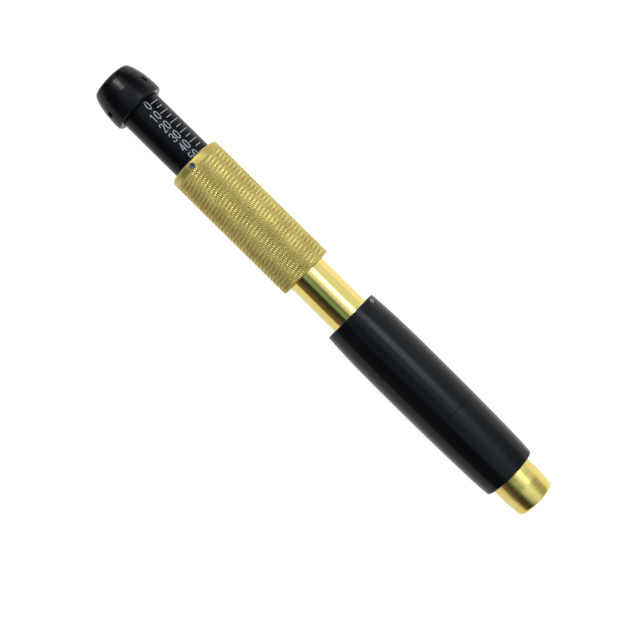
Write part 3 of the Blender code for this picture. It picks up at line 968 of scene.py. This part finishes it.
def make_floor():
    """A white light table that the pen lies on, its glow painted brighter on the softbox's side and dimmer, as
    painted shade, on the other.
    """
    bpy.ops.mesh.primitive_plane_add(size=12.0, location=(-0.1, 0, cad_box[0].z - FLOOR_DROP))
    floor = bpy.context.object
    floor.name = "studio_floor"
    paint = bpy.data.materials.new("floor_white")
    paint.use_nodes = True
    shader = paint.node_tree.nodes["Principled BSDF"]
    shader.inputs["Base Color"].default_value = (0.25, 0.25, 0.25, 1)
    shader.inputs["Roughness"].default_value = 0.9
    shader.inputs["Emission Color"].default_value = (1, 1, 1, 1)
    tree = paint.node_tree
    where = tree.nodes.new("ShaderNodeTexCoord")
    split = tree.nodes.new("ShaderNodeSeparateXYZ")
    glow = tree.nodes.new("ShaderNodeMapRange")
    for name, number in zip(("From Min", "From Max", "To Min", "To Max"), FLOOR_PAINTED_LIGHT):
        glow.inputs[name].default_value = number
    tree.links.new(where.outputs["Object"], split.inputs[0])
    tree.links.new(split.outputs["Y"], glow.inputs["Value"])
    # painted light: the emission strength rises towards +Y, the softbox's side, and falls on the -Y side as
    # painted shade
    tree.links.new(glow.outputs["Result"], shader.inputs["Emission Strength"])
    floor.data.materials.append(paint)


# brightness and tint of the room by angle from overhead, in degrees, + towards +Y
ROOM = [
    (-90, (0.90, 0.88, 0.85)), (-82, (0.26, 0.20, 0.16)), (-66, (0.17, 0.11, 0.09)),
    (-52, (0.08, 0.065, 0.065)), (-44, (0.04, 0.045, 0.06)), (-33, (0.05, 0.06, 0.075)),
    (-29, (0.24, 0.42, 0.36)), (-13, (0.26, 0.43, 0.36)), (-9, (0.20, 0.22, 0.19)),
    (-3, (0.34, 0.37, 0.40)), (8, (1.0, 1.13, 1.35)), (20, (1.2, 1.4, 1.8)),
    (48, (1.0, 1.18, 1.5)), (62, (1.02, 1.13, 1.2)), (80, (1.12, 1.21, 1.25)),
    (90, (1.12, 1.17, 1.2)),
]
ROOM_PEAK = 1.8
HORIZON = (0.94, 0.95, 0.96)
# how much of those walls is seen towards the knob end, and towards the nose end
WALLS_AT_KNOB = 0.04
WALLS_AT_NOSE = 0.40
# the bright strip in the middle of the softbox, and the glow that its two ends add
STRIP = [(20, 0.0), (28, 1.0), (39, 1.0), (47, 0.0)]
STRIP_LIGHT = (3.6, 3.75, 3.5)
GLOW = [(-38, 0.0), (-12, 1.0), (17, 1.0), (42, 0.0)]
GLOW_LIGHT = (0.8, 0.9, 1.1)


class Room:
    """The world's node tree, with short names for the few steps it needs."""

    def __init__(self):
        self.world = bpy.data.worlds.new("studio_room")
        self.world.use_nodes = True
        self.tree = self.world.node_tree
        where = self.tree.nodes.new("ShaderNodeTexCoord")
        split = self.tree.nodes.new("ShaderNodeSeparateXYZ")
        self.tree.links.new(where.outputs["Generated"], split.inputs[0])
        self.x, self.y, self.z = split.outputs

    def math(self, operation, *values):
        node = self.tree.nodes.new("ShaderNodeMath")
        node.operation = operation
        for socket, value in zip(node.inputs, values):
            if isinstance(value, bpy.types.NodeSocket):
                self.tree.links.new(value, socket)
            else:
                socket.default_value = value
        return node.outputs[0]

    def step(self, value, start, end, low=0.0, high=1.0, smooth=True):
        """Go from low to high as a value goes from start to end."""
        node = self.tree.nodes.new("ShaderNodeMapRange")
        node.interpolation_type = "SMOOTHSTEP" if smooth else "LINEAR"
        for name, number in zip(("From Min", "From Max", "To Min", "To Max"), (start, end, low, high)):
            node.inputs[name].default_value = number
        self.tree.links.new(value, node.inputs["Value"])
        return node.outputs["Result"]

    def ramp(self, angle, stops):
        """A colour by angle in degrees."""
        node = self.tree.nodes.new("ShaderNodeValToRGB")
        elements = node.color_ramp.elements
        for index, (degrees, colour) in enumerate(stops):
            place = (degrees + 90) / 180
            element = elements[index] if index < 2 else elements.new(place)
            element.position = place
            element.color = (*(level / ROOM_PEAK for level in colour), 1)
        share = self.step(angle, -math.pi / 2, math.pi / 2, smooth=False)
        self.tree.links.new(share, node.inputs["Fac"])
        return node.outputs["Color"]

    def mix(self, kind, factor, first, second):
        """Mix two colours, where each may be a socket or a plain colour."""
        node = self.tree.nodes.new("ShaderNodeMix")
        node.data_type = "RGBA"
        node.blend_type = kind
        node.clamp_result = False
        colour_inputs = [socket for socket in node.inputs if socket.type == "RGBA"]
        for socket, value in zip([node.inputs[0], *colour_inputs], (factor, first, second)):
            if isinstance(value, bpy.types.NodeSocket):
                self.tree.links.new(value, socket)
            elif socket.type == "RGBA":
                socket.default_value = (*value, 1)
            else:
                socket.default_value = value
        return next(socket for socket in node.outputs if socket.type == "RGBA")


def make_room():
    """A soft studio room: a long softbox on the +Y side and darker flags on the other."""
    room = Room()
    bpy.context.scene.world = room.world
    angle = room.math("ARCTAN2", room.y, room.z)
    walls = room.ramp(angle, ROOM)
    aside = room.math("ABSOLUTE", room.x)
    degree = math.pi / 180
    strip = room.math(
        "MULTIPLY",
        room.step(angle, STRIP[0][0] * degree, STRIP[1][0] * degree),
        room.step(angle, STRIP[2][0] * degree, STRIP[3][0] * degree, 1.0, 0.0),
    )
    strip = room.math("MULTIPLY", strip, room.step(room.x, 0.045, 0.15, 1.0, 0.03))
    strip = room.math("MULTIPLY", strip, room.step(room.x, -0.20, -0.08, 0.25, 1.0))
    glow = room.math(
        "MULTIPLY",
        room.step(angle, GLOW[0][0] * degree, GLOW[1][0] * degree),
        room.step(angle, GLOW[2][0] * degree, GLOW[3][0] * degree, 1.0, 0.0),
    )
    glow = room.math("MULTIPLY", glow, room.step(aside, 0.09, 0.22))
    seen = room.math(
        "MULTIPLY",
        room.step(room.x, -0.23, -0.09, WALLS_AT_KNOB, 1.0),
        room.step(room.x, 0.10, 0.25, 1.0, WALLS_AT_NOSE),
    )
    walls = room.mix("MIX", seen, (0.0, 0.0, 0.0), walls)
    light = room.mix("ADD", strip, walls, [level / ROOM_PEAK for level in STRIP_LIGHT])
    light = room.mix("ADD", glow, light, [level / ROOM_PEAK for level in GLOW_LIGHT])
    horizon = [level / ROOM_PEAK for level in HORIZON]
    light = room.mix("MIX", room.step(room.z, 0.05, 0.13), horizon, light)
    background = room.tree.nodes["Background"]
    room.tree.links.new(light, background.inputs["Color"])
    background.inputs["Strength"].default_value = ROOM_PEAK


def make_lamp():
    """A small softbox beyond the knob, which lights the slopes that face that way."""
    data = bpy.data.lights.new("softbox", "AREA")
    data.shape = "DISK"
    data.size = 0.27
    data.energy = 2.6
    lamp = bpy.data.objects.new("softbox", data)
    towards = Vector((-0.65, 0.15, 0.75)).normalized()
    target = point(KNOB_SKIRT, 0)
    lamp.location = target + towards * 0.8
    lamp.rotation_euler = towards.to_track_quat("Z", "Y").to_euler()
    bpy.context.collection.objects.link(lamp)


def main():
    make_camera()
    finish_inner_nodes()
    make_nose()
    make_tube()
    make_sleeve()
    make_knurl()
    make_grip()
    make_scale()
    make_knob()
    make_springs()
    make_floor()
    make_room()
    make_lamp()
    bpy.context.scene.view_settings.view_transform = "Standard"


main()
